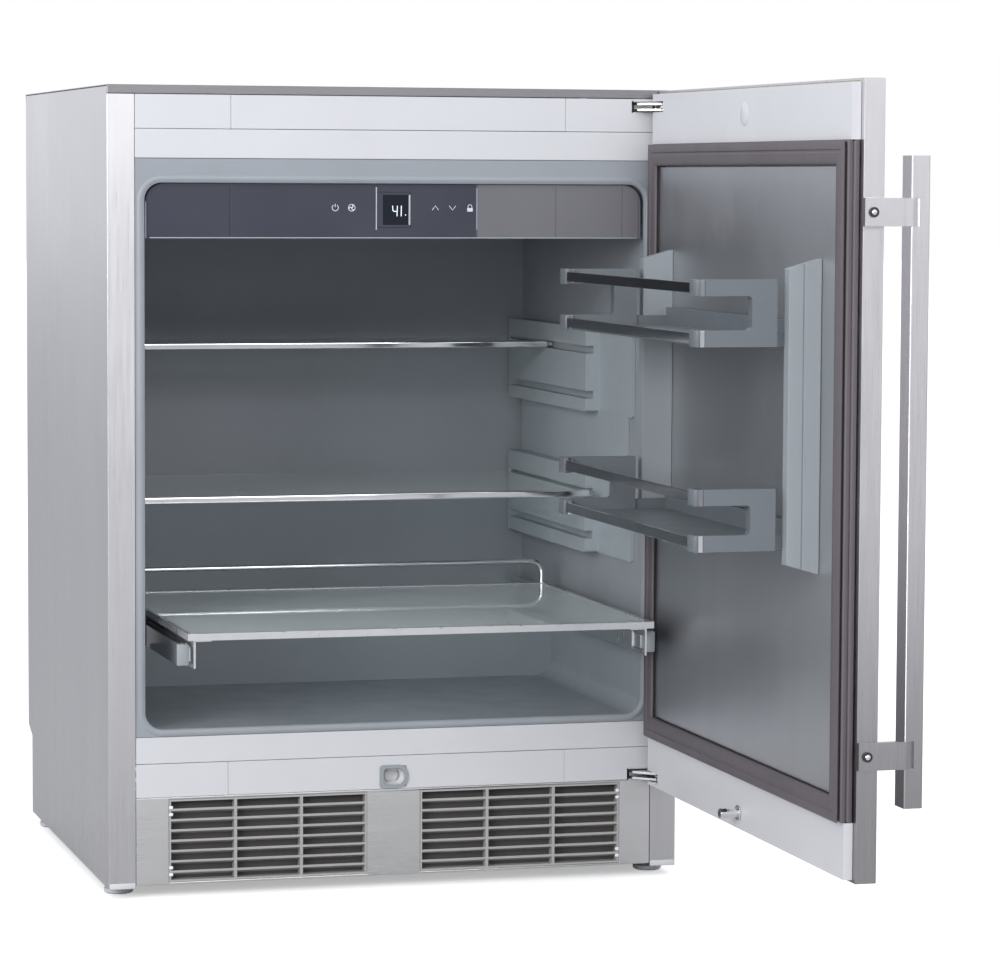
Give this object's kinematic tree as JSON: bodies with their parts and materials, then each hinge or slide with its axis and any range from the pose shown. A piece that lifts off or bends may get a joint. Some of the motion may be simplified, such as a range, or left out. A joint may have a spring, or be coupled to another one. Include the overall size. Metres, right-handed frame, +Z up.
{
  "type": "undercounter refrigerator",
  "caption": "Stainless undercounter refrigerator, door open at a right angle, with glass shelves, a pull-out glass tray on slides, racks in the door, a display fascia and plinth air grilles.",
  "frame": {"origin": "on the floor, under the middle of the cabinet's footprint", "axes": "+X to the right of a person facing the front, +Y towards the back, +Z up; the front of the cabinet is its -Y face"},
  "size_m": [0.636, 1.1372, 0.82],
  "materials": {
    "stainless": "brushed",
    "galvanised": "dull",
    "chrome": "polished",
    "pale_plastic": "satin",
    "liner_grey": "satin",
    "rack_grey": "satin",
    "fascia_slate": "gloss",
    "display_black": "gloss",
    "gasket_rubber": "matt",
    "foot_rubber": "matt",
    "black_plastic": "matt",
    "compressor_black": "semi-gloss",
    "foam": "matt",
    "aluminium": "mill",
    "glass": "clear",
    "white_plastic": "satin"
  },
  "bodies": {
    "cabinet": {"side_panel_left": "stainless", "side_panel_right": "stainless", "top_cover": "stainless", "rear_panel": "galvanised", "power_inlet": "black_plastic", "base_pan": "galvanised", "foot_front_left": "foot_rubber", "foot_front_right": "foot_rubber", "foot_rear_left": "foot_rubber", "foot_rear_right": "foot_rubber", "upper_fascia": "pale_plastic", "frame_rail_upper": "pale_plastic", "frame_rail_lower": "pale_plastic", "lower_fascia": "pale_plastic", "catch_receptacle": "white_plastic", "plinth_panel": "stainless", "grille_left": "rack_grey", "grille_right": "rack_grey", "inner_liner": "liner_grey", "insulation": "foam", "evaporator": "aluminium", "shelf_support_left": "rack_grey", "shelf_support_right": "rack_grey", "control_fascia": "fascia_slate", "display_window": "display_black", "control_housing": "black_plastic", "slide_outer_left": "aluminium", "slide_outer_right": "aluminium", "compressor": "compressor_black", "condenser": "aluminium", "condenser_fan_shroud": "black_plastic", "hinge_bracket_lower": "chrome", "hinge_bracket_upper": "chrome"},
    "door": {"door_skin": "stainless", "door_core": "foam", "door_inner_frame": "pale_plastic", "door_inner_panel": "liner_grey", "door_gasket": "gasket_rubber", "rack_upright_free_side": "rack_grey", "rack_upright_hinge_side": "rack_grey", "handle": "stainless", "catch_pin": "chrome", "hinge_leaf_lower": "chrome", "hinge_leaf_upper": "chrome"},
    "rack_upper": {"rack_upper_frame": "rack_grey", "rack_upper_bar_top": "chrome", "rack_upper_bar_bottom": "chrome"},
    "rack_lower": {"rack_lower_frame": "rack_grey", "rack_lower_bar_top": "chrome", "rack_lower_bar_bottom": "chrome"},
    "tray_carriage": {"slide_middle_left": "aluminium", "slide_middle_right": "aluminium"},
    "tray": {"tray_glass": "glass", "tray_frame": "chrome"},
    "shelf_upper": {"shelf_upper_glass": "glass", "shelf_upper_trim": "chrome"},
    "shelf_lower": {"shelf_lower_glass": "glass", "shelf_lower_trim": "chrome"},
    "condenser_fan": {"condenser_fan_rotor": "black_plastic"},
    "interior_fan": {"interior_fan_rotor": "pale_plastic"}
  },
  "joints": [
    {"name": "door_hinge", "type": "hinge", "parent": "cabinet", "child": "door", "pos_m": [0.278, -0.286, 0.455], "axis": [0, 0, 1], "range_deg": [-90, 10]},
    {"name": "tray_carriage_slide", "type": "slide", "parent": "cabinet", "child": "tray_carriage", "axis": [0, -1, 0], "range_m": [-0.17, 0.0189]},
    {"name": "tray_slide", "type": "slide", "parent": "tray_carriage", "child": "tray", "axis": [0, -1, 0], "range_m": [0, 0.18]},
    {"name": "shelf_upper_slide", "type": "slide", "parent": "cabinet", "child": "shelf_upper", "axis": [0, -1, 0], "range_m": [0, 0.3]},
    {"name": "shelf_lower_slide", "type": "slide", "parent": "cabinet", "child": "shelf_lower", "axis": [0, -1, 0], "range_m": [0, 0.15]},
    {"name": "rack_upper_lift", "type": "slide", "parent": "door", "child": "rack_upper", "axis": [0, 0, 1], "range_m": [0, 0.02]},
    {"name": "rack_lower_lift", "type": "slide", "parent": "door", "child": "rack_lower", "axis": [0, 0, 1], "range_m": [0, 0.02]},
    {"name": "condenser_fan_spin", "type": "hinge", "parent": "cabinet", "child": "condenser_fan", "pos_m": [0.129, -0.135, 0.07], "axis": [0, 1, 0], "continuous": true},
    {"name": "interior_fan_spin", "type": "hinge", "parent": "cabinet", "child": "interior_fan", "pos_m": [0, -0.17, 0.686], "axis": [0, 0, 1], "continuous": true}
  ],
  "couplings": [
    {"joint": "tray_carriage_slide", "follows": "door_hinge", "m_per_rad": 0.10823}
  ]
}
